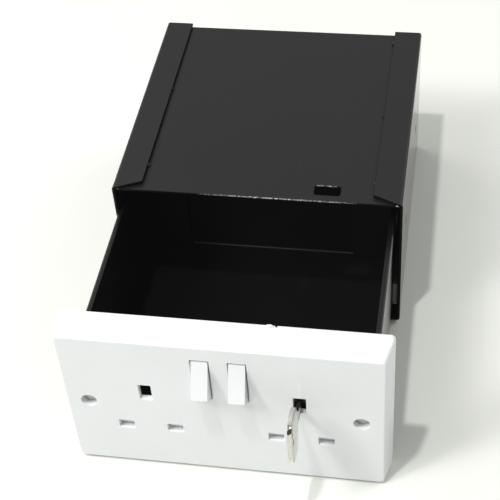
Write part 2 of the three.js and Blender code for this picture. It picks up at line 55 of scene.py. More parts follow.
def arcPoints(cx, cz, radius, start, stop, steps=8):
    # the radius times the cosine and sine of an angle that runs from start to stop, in degrees
    a = np.radians(np.linspace(start, stop, steps + 1))
    return np.stack([cx + radius * np.cos(a), cz + radius * np.sin(a)], axis=1)


def circleLoop(cx, cz, radius, steps=48):
    # the same for a full turn, without its last point
    return arcPoints(cx, cz, radius, 0, 360, steps)[:-1]


def roundedLoop(cx, cz, width, height, radius, steps=6):
    # four quarter turns of the radius, each about the centre of its own corner
    a = np.linspace(0, np.pi / 2, steps + 1)
    quarter = np.arange(4)[:, None]
    angle = a[None, :] + quarter * np.pi / 2
    sx = np.array([1, -1, -1, 1])[:, None]
    sz = np.array([1, 1, -1, -1])[:, None]
    x = cx + sx * (width / 2 - radius) + radius * np.cos(angle)
    z = cz + sz * (height / 2 - radius) + radius * np.sin(angle)
    return np.stack([x.ravel(), z.ravel()], axis=1)


def atDepth(loop, y):
    # the loop's points as x and z, all at one y
    return np.stack([loop[:, 0], np.full(len(loop), float(y)), loop[:, 1]], axis=1)


def ringFaces(rows, count):
    # quads between each ring and the next, wrapped round the ring
    r, c = np.meshgrid(np.arange(rows - 1), np.arange(count), indexing="ij")
    n = (c + 1) % count
    quads = np.stack([r * count + c, r * count + n, (r + 1) * count + n, (r + 1) * count + c], axis=-1)
    return quads.reshape(-1, 4).tolist()


def gridFaces(rows, columns):
    # quads of an open grid
    r, c = np.meshgrid(np.arange(rows - 1), np.arange(columns - 1), indexing="ij")
    a = r * columns + c
    return np.stack([a, a + 1, a + columns + 1, a + columns], axis=-1).reshape(-1, 4).tolist()


class Shape:
    # collects surfaces, then becomes one Blender piece

    def __init__(self):
        self.points, self.faces, self.kinds, self.size = [], [], [], 0

    def add(self, points, faces, kinds=None):
        # kinds holds each face's material number, where the piece has two
        points = np.asarray(points, float).reshape(-1, 3)
        self.faces += [[i + self.size for i in face] for face in faces]
        self.kinds += kinds if kinds is not None else [0] * len(faces)
        self.points.append(points)
        self.size += len(points)
        return self

    def rings(self, stack):
        # a skin from each loop of the stack to the next
        stack = np.asarray(stack, float)
        return self.add(stack, ringFaces(stack.shape[0], stack.shape[1]))

    def fill(self, loops):
        # a flat face inside the first loop and outside the others
        triangles = tessellate_polygon([[Vector(p) for p in loop] for loop in loops])
        return self.add(np.concatenate(loops), [list(t) for t in triangles])

    def build(self, name, body, slotName, material, origin=(0, 0, 0), **options):
        points = (np.concatenate(self.points) + np.asarray(origin)) * mm
        mesh = bpy.data.meshes.new(name)
        mesh.from_pydata(points.tolist(), [], self.faces)
        mesh.polygons.foreach_set("material_index", self.kinds)
        return settle(mesh, name, body, slotName, material, **options)


joinLimits = {"dist": 0.002 * mm, "thin": 0.001 * mm, "flatAngle": 0.5, "bevelAngle": 40, "bevelSteps": 3}


def settle(mesh, name, body, slotName, material, smoothAngle=32, replaces=(), bevel=0, flat=False, cut=None):
    # welds a mesh, turns it outwards and hands it to its body, with rounded edges if a bevel is given;
    # cut is the material of the rounded and the cut edges
    work = bmesh.new()
    work.from_mesh(mesh)
    bmesh.ops.remove_doubles(work, verts=work.verts, dist=joinLimits["dist"])
    bmesh.ops.dissolve_degenerate(work, edges=work.edges, dist=joinLimits["thin"])
    if flat:
        limit = math.radians(joinLimits["flatAngle"])
        bmesh.ops.dissolve_limit(work, angle_limit=limit, verts=work.verts, edges=work.edges)
    bmesh.ops.recalc_face_normals(work, faces=work.faces)
    mesh.materials.clear()
    for part in (material, cut) if cut else (material,):
        mesh.materials.append(part)
    work.to_mesh(mesh)
    work.free()
    mesh.shade_smooth()
    mesh.set_sharp_from_angle(angle=math.radians(smoothAngle))
    piece = bpy.data.objects.new(name, mesh)
    bpy.context.scene.collection.objects.link(piece)
    if bevel:
        rounding = piece.modifiers.new("rounding", "BEVEL")
        rounding.width = bevel * mm
        rounding.segments = joinLimits["bevelSteps"]
        rounding.limit_method = "ANGLE"
        rounding.angle_limit = math.radians(joinLimits["bevelAngle"])
        rounding.use_clamp_overlap = True
        rounding.material = 1 if cut else -1
        rounding.harden_normals = True
    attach(piece, body)
    if replaces:
        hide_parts(*replaces)
    return piece


def soften(nodeName, bevel):
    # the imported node's own shape, from a copy of its mesh, with its hard edges rounded
    entry = next(e for e in frame["record"]["subparts"] if e["node"] == nodeName)
    body = next(b for b, names in frame["record"]["behaviour"]["bodies"].items() if nodeName in names)
    mesh = nodes[nodeName].data.copy()
    slotName = entry["material_slot"]
    options = {"replaces": (nodeName,), "bevel": bevel, "flat": True}
    return settle(mesh, "soft_" + nodeName, body, slotName, finishes[slotName], **options)


# Sheet tools. A path is the distance along a folded sheet's outer face, that face, and the inner face.


def bentPath(corners, radius, wall, steps=8, support=0.5):
    # straight stretches joined by quarter circles: at each fold the outer face keeps the radius and the inner
    # face the radius less the wall, about one centre on the inner side; support is a short straight row
    corners = [np.asarray(c, float) for c in corners]
    ahead = [(b - a) / np.linalg.norm(b - a) for a, b in zip(corners, corners[1:])]
    turn = np.linspace(0, np.pi / 2, steps + 1)[:, None]
    outer, inner = [corners[0][None]], [(corners[0] + wall * ahead[1])[None]]
    for corner, a, b in zip(corners[1:], ahead, ahead[1:]):
        centre = corner + radius * (b - a)
        spoke = a * np.sin(turn) - b * np.cos(turn)
        early, late = corner - a * (radius + support), corner + b * (radius + support)
        outer += [early[None], centre + radius * spoke, late[None]]
        inner += [(early + wall * b)[None], centre + (radius - wall) * spoke, (late - wall * a)[None]]
    outer.append(corners[-1][None])
    inner.append((corners[-1] - wall * ahead[-2])[None])
    outer, inner = np.concatenate(outer), np.concatenate(inner)
    distance = np.concatenate([[0], np.cumsum(np.linalg.norm(np.diff(outer, axis=0), axis=1))])
    return distance, outer, inner


def roundEnds(path, wall, steps=5):
    # over the last half thickness the two faces draw together along a quarter circle, and meet in the middle
    distance, outer, inner = path
    turn = np.linspace(0, np.pi / 2, steps + 1)[:, None]
    back, across = wall / 2 * (1 - np.sin(turn)), wall / 2 * (1 - np.cos(turn))
    tips = []
    for end, near in ((0, 1), (-1, -2)):
        ahead = outer[end] - outer[near]
        ahead /= np.linalg.norm(ahead)
        through = (inner[end] - outer[end]) / wall
        outerTip = outer[end] - ahead * back + through * across
        innerTip = inner[end] - ahead * back - through * across
        tips.append((outerTip, innerTip))
    outer = np.concatenate([tips[0][0][::-1], outer[1:-1], tips[1][0]])
    inner = np.concatenate([tips[0][1][::-1], inner[1:-1], tips[1][1]])
    back = back[:, 0]
    distance = np.concatenate([distance[0] + back[::-1], distance[1:-1], distance[-1] - back])
    return distance, outer, inner


def distanceTo(path, place):
    # the distance along the outer face of its point that lies nearest to a place
    distance, outer, _ = path
    start, run = outer[:-1], np.diff(outer, axis=0)
    share = np.clip(((place - start) * run).sum(1) / (run * run).sum(1), 0, 1)
    gap = np.linalg.norm(start + share[:, None] * run - place, axis=1)
    best = int(gap.argmin())
    return distance[best] + share[best] * (distance[best + 1] - distance[best])


def insideLoop(points, loop):
    # even-odd rule: a point is inside if a line from it crosses an odd number of the loop's sides
    a, b = loop, np.roll(loop, -1, axis=0)
    x, y = points[:, :1], points[:, 1:]
    spans = (a[:, 1] > y) != (b[:, 1] > y)
    rise = np.where(b[:, 1] == a[:, 1], 1e-9, b[:, 1] - a[:, 1])  # a level side is never crossed
    cross = a[:, 0] + (y - a[:, 1]) / rise * (b[:, 0] - a[:, 0])
    return (spans & (x < cross)).sum(1) % 2 == 1


def foldedSheet(path, outline, holes, place):
    # The flat blank, of distance along the path and width, is cut into triangles along its folds. Each point
    # goes to the outer and to the inner face at its distance, straight between the path's rows, and the cut
    # edges are walled. place turns the path's two coordinates and the width into x, y and z.
    distance, outer, inner = path
    loops = [np.asarray(loop, float) for loop in [outline] + list(holes)]
    low, high = loops[0][:, 1].min() - 1, loops[0][:, 1].max() + 1
    folds = distance[1:-1]
    ends = [np.column_stack([folds, 0 * folds + width]) for width in (low, high)]
    edges, start = [], 0
    for loop in loops:
        i = np.arange(len(loop))
        edges += (np.column_stack([i, (i + 1) % len(loop)]) + start).tolist()
        start += len(loop)
    k = np.arange(len(folds))
    edges += np.column_stack([start + k, start + len(folds) + k]).tolist()
    cut = delaunay_2d_cdt([Vector(p) for p in np.concatenate(loops + ends)], edges, [], 0, 1e-6)
    blank, triangles = np.array([tuple(v) for v in cut[0]]), np.array(cut[2])
    middle = blank[triangles].mean(axis=1)
    keep = insideLoop(middle, loops[0])
    for hole in loops[1:]:
        keep &= ~insideLoop(middle, hole)
    triangles = triangles[keep]
    used, flat = np.unique(triangles, return_inverse=True)
    blank, triangles = blank[used], flat.reshape(-1, 3)
    count = len(blank)
    turned = [triangles, np.roll(triangles, -1, axis=1), np.roll(triangles, -2, axis=1)]
    sides = np.concatenate(turned)[:, :2]
    order = np.sort(sides, axis=1)
    _, first, times = np.unique(order, axis=0, return_index=True, return_counts=True)
    rim = sides[first[times == 1]]  # a side with one triangle lies on a cut edge
    walls = np.column_stack([rim[:, 0], rim[:, 1], rim[:, 1] + count, rim[:, 0] + count])
    points = []
    for face in (outer, inner):
        spot = np.column_stack([np.interp(blank[:, 0], distance, face[:, i]) for i in (0, 1)])
        points.append(place(spot, blank[:, 1]))
    faces = triangles.tolist() + (triangles[:, ::-1] + count).tolist() + walls.tolist()
    return np.concatenate(points), faces, [0] * (2 * len(triangles)) + [1] * len(walls)


shaderSockets = {
    # this script's names for the shader's sockets
    "colour": "Base Color",
    "roughness": "Roughness",
    "metallic": "Metallic",
    "ior": "IOR",
    "coat": "Coat Weight",
    "coatRoughness": "Coat Roughness",
    "normal": "Normal",
    "specular": "Specular IOR Level",
}


class Value:
    # a socket in an expression: each operator adds a Math node

    def __init__(self, finish, socket):
        self.finish, self.socket = finish, socket

    def math(self, operation, *others):
        sockets = dict(enumerate((self,) + others))
        return self.finish.node("ShaderNodeMath", {"operation": operation}, sockets)

    def __add__(self, other):
        return self.math("ADD", other)

    def __radd__(self, other):
        return self + other

    def __sub__(self, other):
        return self.math("SUBTRACT", other)

    def __rsub__(self, other):
        return (-self) + other

    def __mul__(self, other):
        return self.math("MULTIPLY", other)

    def __rmul__(self, other):
        return self * other

    def __truediv__(self, other):
        return self.math("DIVIDE", other)

    def __neg__(self):
        return self.math("MULTIPLY", -1.0)

    def __abs__(self):
        return self.math("ABSOLUTE")

    def clamp(self):
        return self.math("MAXIMUM", 0.0).math("MINIMUM", 1.0)

    def step(self, low, high):
        # 0 up to low, 1 from high on, straight between
        return ((self - low) / (high - low)).clamp()

    def band(self, start, full, fade, end):
        # rises from start to full and falls from fade to end
        return self.step(start, full) * (1 - self.step(fade, end))

    def near(self, middle, full, end):
        # 1 up to a distance of full from the middle, 0 from a distance of end on
        return 1 - abs(self - middle).step(full, end)


class Finish:
    # one material, with the one method that adds its nodes

    def __init__(self, name, **constants):
        self.material = bpy.data.materials.new(name)
        self.material.use_nodes = True
        self.tree = self.material.node_tree
        self.shader = self.tree.nodes["Principled BSDF"]
        self.feed(**constants)

    def put(self, socket, value):
        if isinstance(value, Value):
            self.tree.links.new(value.socket, socket)
        else:
            socket.default_value = value

    def node(self, kind, settings, sockets, out=0):
        # sockets gives values or links, by the socket's name or number
        made = self.tree.nodes.new(kind)
        for key, value in settings.items():
            setattr(made, key, value)
        for key, value in sockets.items():
            self.put(made.inputs[key], value)
        return Value(self, made.outputs[out])

    def feed(self, **sockets):
        for key, value in sockets.items():
            self.put(self.shader.inputs[shaderSockets[key]], value)

    def place(self):
        return self.node("ShaderNodeTexCoord", {}, {}, "Object")

    def axes(self):
        # object coordinates x, y and z, in metres
        split = self.node("ShaderNodeSeparateXYZ", {}, {"Vector": self.place()})
        return [Value(self, socket) for socket in split.socket.node.outputs]

    def noise(self, scale, detail=2.0, rough=0.5, stretch=(1, 1, 1)):
        sockets = {"Vector": self.place(), "Scale": stretch}
        spot = self.node("ShaderNodeMapping", {"vector_type": "POINT"}, sockets)
        sockets = {"Vector": spot, "Scale": scale, "Detail": detail, "Roughness": rough}
        return self.node("ShaderNodeTexNoise", {}, sockets)

    def mix(self, factor, low, high):
        # a Mix node has its colour sockets at 6 and 7 and its colour output at 2
        return self.node("ShaderNodeMix", {"data_type": "RGBA"}, {0: factor, 6: low, 7: high}, 2)

    def bump(self, height, distance, strength=1.0):
        sockets = {"Height": height, "Distance": distance, "Strength": strength}
        self.feed(normal=self.node("ShaderNodeBump", {}, sockets))


def grey(level, tint=(1, 1, 1)):
    return tuple(level * t for t in tint) + (1,)


plasticLook = {
    "bright": 0.83,
    "dull": 0.77,
    "tint": (0.965, 0.982, 1.0),
    "roughness": 0.32,
    "cloud": 26.0,
    "skin": (900.0, 0.00002, 0.35),  # scale, distance, strength
    "flowLine": (0.0331, 0.0002, 0.0009),  # x, half width, faded out
    "flowHeights": (0.0555, 0.058, 0.064, 0.067),  # z: starts, full, fades, ends
    "mark": (0.0225, -0.1518, 0.0829, 0.0004),  # x, y, z, softness
}


def whitePlastic():
    # moulded white: faint clouding, a fine even skin, a pale flow line above the key's hole and a small dark
    # mark beside the nub
    look = plasticLook
    finish = Finish("white_plastic", ior=1.5)
    x, y, z = finish.axes()
    cloud = finish.noise(look["cloud"], 3.0)
    flow = x.near(*look["flowLine"]) * z.band(*look["flowHeights"])
    shade = (cloud.step(0.3, 0.75) * 0.5 + flow * 0.9).clamp()
    colour = finish.mix(shade, grey(look["dull"], look["tint"]), grey(look["bright"], look["tint"]))
    markX, markY, markZ, soft = look["mark"]
    mark = x.near(markX, soft, soft + 0.0003) * y.step(markY, markY + soft) * z.step(markZ, markZ + soft)
    finish.feed(
        colour=finish.mix(mark, colour, grey(0.02)),
        roughness=cloud * 0.1 + (look["roughness"] - 0.05),
    )
    scale, distance, strength = look["skin"]
    finish.bump(finish.noise(scale, 2.0), distance, strength)
    return finish.material


steelLook = {
    "black": 0.0085,
    "worn": 0.02,
    "tint": (0.95, 1.0, 1.03),
    "roughness": 0.34,
    "grain": (0.00003, 0.3),  # distance, strength
    # near-white of the edge specks: rubbed-through coating and painted highlight in one
    "bare": (0.92, (1.0, 1.0, 0.93)),
    # painted shade: the cut and rounded edges are darker than the coating
    "cut": 0.0035,
    "edge": (0.0003, 0.0006),  # how far in from a side its own shine ends
}


def orangePeel(finish):
    # fine and coarse ripples of the stoved coating
    ripples = finish.noise(1100.0, 2.0) + finish.noise(240.0, 2.0) * 0.6
    distance, strength = steelLook["grain"]
    finish.bump(ripples, distance, strength)


def coatedSteel(name, left, right, sideRoughness, sideCoat=0.0, inside=1.0):
    # black stoved coating: fine orange peel, duller clouds and a few pale hairline scuffs, with its own shine
    # on the two outer sides, which lie at left and right; inside below 1 darkens the colours as painted shade
    look = steelLook
    finish = Finish(name, ior=1.5, coatRoughness=0.34)
    x, _, _ = finish.axes()
    near, far = look["edge"]
    side = 1 - x.band(left + near, left + far, right - far, right - near)
    cloud = finish.noise(14.0, 4.0, 0.6)
    scuff = finish.noise(70.0, 5.0, 0.7, (1.0, 0.12, 1.0)).step(0.66, 0.74)
    # inside below 1 is painted shade, for a copy that lies in shade
    black, worn = look["black"] * inside, look["worn"] * inside
    rough = cloud * 0.16 + scuff * 0.06 + (look["roughness"] - 0.08)
    sideRough = cloud * 0.06 + (sideRoughness - 0.03)
    finish.feed(
        colour=finish.mix(scuff * 0.35, grey(black, look["tint"]), grey(worn, look["tint"])),
        roughness=rough * (1 - side) + sideRough * side,
    )
    if sideCoat:
        finish.feed(coat=side * sideCoat)
    orangePeel(finish)
    return finish.material


wearAndGlintLine = {
    # metres: where the near-white specks, rubbed-through coating and painted highlight in one, start and stop
    # in y and z at the panel's front edge, their middle in x with the reach of the full and the fading
    # specks, the panel's two corners, and the same for the back of the slot; specks are a noise's scale and
    # the two levels between which they show
    "front": (-0.06645, -0.06625),
    "height": (0.0768, 0.0770, 0.0778, 0.0779),
    "run": (0.010, 0.012, 0.038),
    "corner": (0.0664, 0.0003, 0.0009),
    "slotBack": (-0.0565, -0.0563, -0.0557, -0.0555),
    "slotSides": (0.0275, 0.0285, 0.0365, 0.0375),
    "specks": (1500.0, 0.47, 0.56),
}


def cutSteel():
    # cut and rounded edges of the sheet: darker than the coating and with little shine, as painted shade of
    # the gaps under and beside them; near-white specks along the top panel's front corner, at its two ends
    # and at the back of its slot are partly rubbed-through coating and partly a painted highlight of the
    # edges
    look, worn = steelLook, wearAndGlintLine
    finish = Finish("coated_steel_cut", ior=1.5, specular=0.08)
    x, y, z = finish.axes()
    along = x.near(*worn["run"]).math("POWER", 0.7).math("MAXIMUM", abs(x).near(*worn["corner"]))
    front = (1 - y.step(*worn["front"])) * along
    slot = y.band(*worn["slotBack"]) * x.band(*worn["slotSides"]) * 0.8
    scale, low, high = worn["specks"]
    specks = finish.noise(scale, 3.0, 0.7).step(low, high)
    # near-white specks, part rubbed-through coating and part painted highlight
    bare = ((front + slot) * z.band(*worn["height"]) * (specks * 0.9 + 0.1)).clamp()
    cloud = finish.noise(60.0, 3.0, 0.6)
    finish.feed(
        # dark base as painted shade of the gaps, near-white specks as wear and painted highlight
        colour=finish.mix(bare, grey(look["cut"], look["tint"]), grey(*look["bare"])),
        roughness=cloud * 0.12 + 0.52 - bare * 0.2,
    )
    orangePeel(finish)
    return finish.material


keyShadeMarks = {
    # metres: where the painted shade on the blade starts and how far its wedge runs on, the plug's middle,
    # the tangent of the key's lean, the groove's wall and front end, the bow's painted dark reflection and
    # the foot of the stretch made matte to take out a highlight
    "hole": (-0.1664, -0.1656),
    "wedge": 0.0034,
    "axis": (0.0332, -0.15055, 0.0486),
    "lean": 0.0437,
    "groove": (0.00035, -0.1716),
    "spot": (0.0101, 0.0014, 0.0013, -0.1848),
    "dull": 0.0128,
}


def keyShadeMask(finish):
    # Painted shade is 1 behind the plate's face, in the hole's shadow, and further forwards in a wedge along
    # the middle of the blade's thickness as a painted dark reflection of the hole; it is 1 in the groove as
    # painted shade, and in a leaning oval on the bow's front edge as a painted dark reflection. Dull is 1
    # above that oval, where the plating is made matte and greyer to take out a highlight. Both are measured
    # from the key's own leaning middle plane.
    paintedLight = keyShadeMarks
    x, y, z = finish.axes()
    x0, y0, z0 = paintedLight["axis"]
    across, rise = x - x0 - (y - y0) * paintedLight["lean"], z - z0
    wedge = (1 - abs(across) / 0.001).clamp() * paintedLight["wedge"]
    # painted shade inside the hole, carried forwards as a painted dark reflection along the blade
    inHole = (y + wedge).step(*paintedLight["hole"])
    # painted shade in the groove
    wall, start = paintedLight["groove"]
    inGroove = across.step(wall, wall + 0.0002) * y.step(start, start + 0.0003)
    inGroove = inGroove * rise.near(0, 0.00042, 0.0006)
    # painted dark reflection on the bow's front edge
    middle, tall, wide, front = paintedLight["spot"]
    up, out = (rise - middle - across * 0.6) / tall, across / wide
    spot = (1 - (up * up + out * out).step(0.6, 1.2)) * (1 - y.step(front, front + 0.0003))
    # stretch made matte and greyer to take out a lamp's highlight
    dull = rise.step(paintedLight["dull"], paintedLight["dull"] + 0.0006)
    return (inHole + inGroove + spot).clamp(), dull


def platedSteel(name, colour, roughness, streak=(1, 1, 1), spread=0.2, depth=0.4, paintedLight=None):
    # plated metal: clouded shine with fine drawn lines; the last argument, if given, makes masks of painted
    # shade and dark reflection, and of plating made matte to take out a highlight
    finish = Finish(name, metallic=1.0)
    cloud = finish.noise(160.0, 4.0, 0.6)
    lines = finish.noise(1500.0, 2.0, 0.5, streak)
    plated = finish.mix(cloud.step(0.3, 0.7), grey(0.8, colour), grey(1.0, colour))
    rough = cloud * spread + lines * (spread / 2) + (roughness - 0.75 * spread)
    if paintedLight:
        paintedDark, dull = paintedLight(finish)
        # painted shade and dark reflection go to near black; the matte stretch goes grey
        plated = finish.mix(paintedDark * 0.94, finish.mix(dull * 0.7, plated, grey(0.30)), grey(0.01))
        rough = rough + dull * 0.45
        finish.feed(metallic=1 - dull * 0.85)
    finish.feed(colour=plated, roughness=rough)
    finish.bump(lines, 0.00001, depth)
    return finish.material


nylonLook = {"dark": 0.10, "light": 0.14, "tint": (1.0, 1.08, 0.9), "roughness": 0.5, "grain": 0.00002}


def darkNylon():
    # dull dark grey with faint clouding and a fine grain
    look = nylonLook
    finish = Finish("dark_nylon", ior=1.5)
    cloud = finish.noise(300.0, 3.0)
    finish.feed(
        colour=finish.mix(cloud, grey(look["dark"], look["tint"]), grey(look["light"], look["tint"])),
        roughness=cloud * 0.1 + look["roughness"],
    )
    finish.bump(finish.noise(1500.0), look["grain"], 0.3)
    return finish.material


white = whitePlastic()
steel = coatedSteel("coated_steel", -0.069, 0.069, 0.11)
# the tray's copy is darkened to 0.3 as painted shade of the drawer's inside
steelTray = coatedSteel("coated_steel_tray", -0.0675, 0.0647, 0.36, 1.0, 0.3)
steelCut = cutSteel()
zinc = platedSteel("zinc_steel", (0.46, 0.47, 0.48), 0.42)
screwZinc = platedSteel("zinc_screw", (0.60, 0.64, 0.60), 0.55)
nickelLook = {
    "colour": (0.66, 0.65, 0.60),
    "roughness": 0.09,
    "streak": (1.0, 0.1, 1.0),
    "spread": 0.06,
    "depth": 0.15,
}
nickel = platedSteel("nickel", **nickelLook)
# the key's copy carries painted shade, a painted dark reflection and a stretch made matte to take out a
# highlight
keyNickel = platedSteel("nickel_key", paintedLight=keyShadeMask, **nickelLook)
nylon = darkNylon()
finishes = {
    "coated_steel": steel,
    "white_plastic": white,
    "zinc_steel": zinc,
    "nickel": nickel,
    "nylon": nylon,
}
print("finishes ready:", len(finishes))

for entry in frame["record"]["subparts"]:
    node = nodes[entry["node"]]
    node.data.materials.clear()
    node.data.materials.append(finishes[entry["material_slot"]])


plate = {
    "width": 146.0,
    "height": 85.6,
    "middle": 41.0,  # above the housing's underside
    "depth": 14.7,
    "band": 3.0,  # upright edge behind the bevel
    "faceInset": (3.0, 1.8),  # at the sides, at top and bottom
    "wall": 2.6,
    "corner": (2.0, 0.6),  # radius, and its least
    "innerRound": (0.6, 0.1, 0.95),
    "innerRim": 0.2,
    "rim": (0.3, 0.08),
    "bend": (0.5, 0.03),
    "edge": 0.45,
    "lip": 0.3,  # radius round each hole
    "flatRing": (0.25, 0.3),  # round each hole, inside the face's edge
    "socket": 33.8,  # each socket's middle, from the plate's
    "earth": (5.5, 9.6, 9.0, 0.25),  # width, height, rise, corner
    "pin": (7.0, 5.0, -14.6, 0.3, 11.1),  # the same, and how far from the socket's middle
    "rocker": (8.1, 25.1, 20.85, 0.3, 8.0),  # the same, from the plate's middle
    "screw": 60.3,
    "head": (3.6, 2.05, 5.2, -9.6, 0.2),  # radius of recess, bore and boss, seat's y and step
    "nub": (20.5, 1.8, 1.0),  # x, half width, rise
    "nubSeat": (0.25, -0.75, 0.7, 0.2),  # sunk by, y, half depth, lift
}


def plateLoop(inset, y, share=0.0):
    # the plate's outline, drawn in by inset and, going forwards, by a share of the face's own inset
    p = plate
    width = p["width"] - 2 * (inset + share * p["faceInset"][0])
    height = p["height"] - 2 * (inset + share * p["faceInset"][1])
    radius, least = p["corner"]
    return atDepth(roundedLoop(0, p["middle"], width, height, max(radius - 0.6 * inset, least)), y)


def holeStack(loopOf, front, back, lip):
    # a hole's wall: a quarter-round lip that widens onto the face, then straight to the back; the flat ring
    # in front of it keeps the face's shading even
    turn = np.linspace(0, np.pi / 2, 5)
    outs, depths = lip * (1 - np.sin(turn)), front + lip * (1 - np.cos(turn))
    stack = [atDepth(loopOf(lip + plate["flatRing"][0]), front)]
    stack += [atDepth(loopOf(out), y) for out, y in zip(outs, depths)]
    return stack + [atDepth(loopOf(0), back)]


def addNub(shape):
    # the moulding nub, sunk in the rim: an oval's width and depth follow the square root of the latitude's
    # cosine, and its height the latitude's sine
    x, half, rise = plate["nub"]
    sunk, y, deep, lift = plate["nubSeat"]
    u = np.linspace(0, 2 * np.pi, 20, endpoint=False)
    lat = np.linspace(0, np.pi / 2, 6)[:, None]
    top = plate["middle"] + plate["height"] / 2 - sunk
    full = np.cos(lat) ** 0.5
    up = top + (rise + lift) * np.sin(lat) + 0 * u
    nub = np.stack([x + half * full * np.cos(u), y + deep * full * np.sin(u), up], axis=-1)
    shape.rings(nub).fill([nub[0]])


def makeFaceplate():
    # One skin of outlines runs back along the inside, round the rim, forwards along the band and the bevel,
    # and round the face's edge by the cosine and the sine of a turn. The face and its back are flat, round
    # the holes' walls.
    p, shape = plate, Shape()
    wall, band, edge = p["wall"], p["band"], p["edge"]
    front, inside = -p["depth"], -p["depth"] + wall
    out, small, share = p["innerRound"]
    rows = [(wall + out, inside, 1), (wall + small, inside + out, share), (wall, -band, 0)]
    rows += [(wall, -p["innerRim"], 0), (wall - p["innerRim"], 0, 0)]
    wide, small = p["rim"]
    rows += [(wide, 0), (small, -small), (0, -wide)]
    soft, share = p["bend"]
    rows += [(0, -band + soft), (0, -band - soft, share)]
    for a in np.radians(np.linspace(14, 90, 8)):
        rows.append((edge * (1 - math.cos(a)), front + edge * (1 - math.sin(a)), 1 - 0.08 * math.cos(a)))
    rows.append((edge + p["flatRing"][1], front, 1))
    skin = [plateLoop(*row) for row in rows]
    shape.rings(skin)
    frontHoles, backHoles = [], []

    def cut(stack):
        shape.rings(stack)
        frontHoles.append(stack[0])
        backHoles.append(stack[-1])

    for side in (-1, 1):
        middle = side * p["socket"]
        spots = [(middle,) + p["earth"]]
        spots += [(middle + way * p["pin"][4],) + p["pin"][:4] for way in (-1, 1)]
        spots += [(side * p["rocker"][4],) + p["rocker"][:4]]
        for x, width, height, rise, corner in spots:
            z = p["middle"] + rise
            loopOf = lambda o: roundedLoop(x, z, width + 2 * o, height + 2 * o, corner + o, 3)
            cut(holeStack(loopOf, front, inside, p["lip"]))
        head, bore, boss, seat, step = p["head"]
        x = side * p["screw"]
        loopOf = lambda o: circleLoop(x, p["middle"], head + o)
        stack = holeStack(loopOf, front, seat - step, p["lip"])
        for radius, y in ((head - step, seat), (bore, seat), (bore, 0), (boss, 0), (boss, inside)):
            stack.append(atDepth(circleLoop(x, p["middle"], radius), y))
        cut(stack)
    shape.fill([skin[-1]] + frontHoles).fill([skin[0]] + backHoles)
    addNub(shape)
    options = {"smoothAngle": 28, "replaces": ("faceplate",)}
    return shape.build("plate_skin", "drawer", "white_plastic", white, plateOrigin, **options)


makeFaceplate()
print("faceplate done")

rockerSize = {
    "spread": 8.0,
    "width": 7.2,
    "pivot": (-9.7, 62.5),  # y and z
    "face": 5.0,  # in front of the pivot
    "top": (-0.5, 11.0),  # how far it stands out from the face, and its rise
    "bottom": (7.4, -5.5),
    "dish": 0.45,
    "under": (13.0, 208, 274, 23),  # arc's radius, start, stop and steps
    "over": (11.7, 68, 110, 13),
    "bevel": 0.4,
}


def rockerOutline():
    # the face from top to bottom, dished by a parabola, then an arc under the pivot and an arc above it
    r = rockerSize
    y0, z0 = r["pivot"]
    top, bottom = (np.array([y0 - r["face"] - out, z0 + up]) for out, up in (r["top"], r["bottom"]))
    t = np.linspace(0, 1, 13)[:, None]
    along = bottom - top
    inward = np.array([-along[1], along[0]]) / np.linalg.norm(along)
    face = top + along * t + inward * (4 * t * (1 - t) * r["dish"])
    return np.concatenate([face, arcPoints(y0, z0, *r["under"]), arcPoints(y0, z0, *r["over"])])


def makeRocker(hand, side):
    # the outline carried across the rocker's width, closed at both ends
    r = rockerSize
    outline = rockerOutline()
    x = side * r["spread"] + np.array([-0.5, 0.5]) * r["width"]
    stack = [np.column_stack([np.full(len(outline), v), outline]) for v in x]
    shape = Shape().rings(stack).fill([stack[0]]).fill([stack[1]])
    body = "rocker_l" if side < 0 else "rocker_r"
    options = {"smoothAngle": 30, "replaces": ("rocker_" + hand,), "bevel": r["bevel"]}
    return shape.build("rocker_skin_" + hand, body, "white_plastic", white, plateOrigin, **options)


makeRocker("left", -1)
makeRocker("right", 1)
print("rockers done")

housing = {
    "width": 138.0,
    "height": 79.0,
    "depth": 134.5,
    "sheet": 1.2,
    "fold": 1.6,
    "flap": 14.0,
    "slant": 5.0,
    "lift": (0.7, 67.0, 12.0, 14.0),  # most, fold's x, reach inwards, reach to the rear
    "panel": (67.5, 77.5, 0.8, 134.2, 1.5),  # half width, top, front, back, lower edge
    "slot": (33.2, 8.2, 12.5, 6.8, 1.5),  # x, y, width, length, corner
    "hole": (2.5, (32.0, 102.5), (-40.0, 40.0), 39.5),  # radius, y in the sides, x in the back, z
    "edge": 0.12,
}


def flapLift(x, y, z):
    # grows straight from the fold to the flap's inner edge, and dies away exponentially behind its front
    most, fold, reach, behind = housing["lift"]
    onFlap = (z > housing["height"] - 3) & (np.abs(x) < fold)
    return np.where(onFlap, most * (fold - np.abs(x)) / reach * np.exp(-y / behind), 0)


def makeWrap():
    # base, sides and flaps: a folded blank with slanted front corners, its path in x and z, its width in y
    h = housing
    half, top = h["width"] / 2, h["height"]
    flap = half - h["flap"]
    corners = [(-flap, top), (-half, top), (-half, 0), (half, 0), (half, top), (flap, top)]
    path = bentPath(corners, h["fold"], h["sheet"])
    end, run, slant, depth = path[0][-1], h["flap"] - h["fold"], h["slant"], h["depth"]
    outline = [(0, slant), (run, 0), (end - run, 0), (end, slant), (end, depth), (0, depth)]
    radius, along, _, rise = h["hole"]
    centres = [(distanceTo(path, np.array([side * half, rise])), y) for side in (-1, 1) for y in along]
    holes = [circleLoop(s, y, radius, 32) for s, y in centres]

    def place(p, w):
        return np.column_stack([p[:, 0], w, p[:, 1] + flapLift(p[:, 0], w, p[:, 1])])

    shape = Shape().add(*foldedSheet(path, outline, holes, place))
    options = {"replaces": ("housing_wrap",), "bevel": h["edge"], "cut": steelCut}
    return shape.build("wrap_skin", "housing", "coated_steel", steel, housingOrigin, **options)


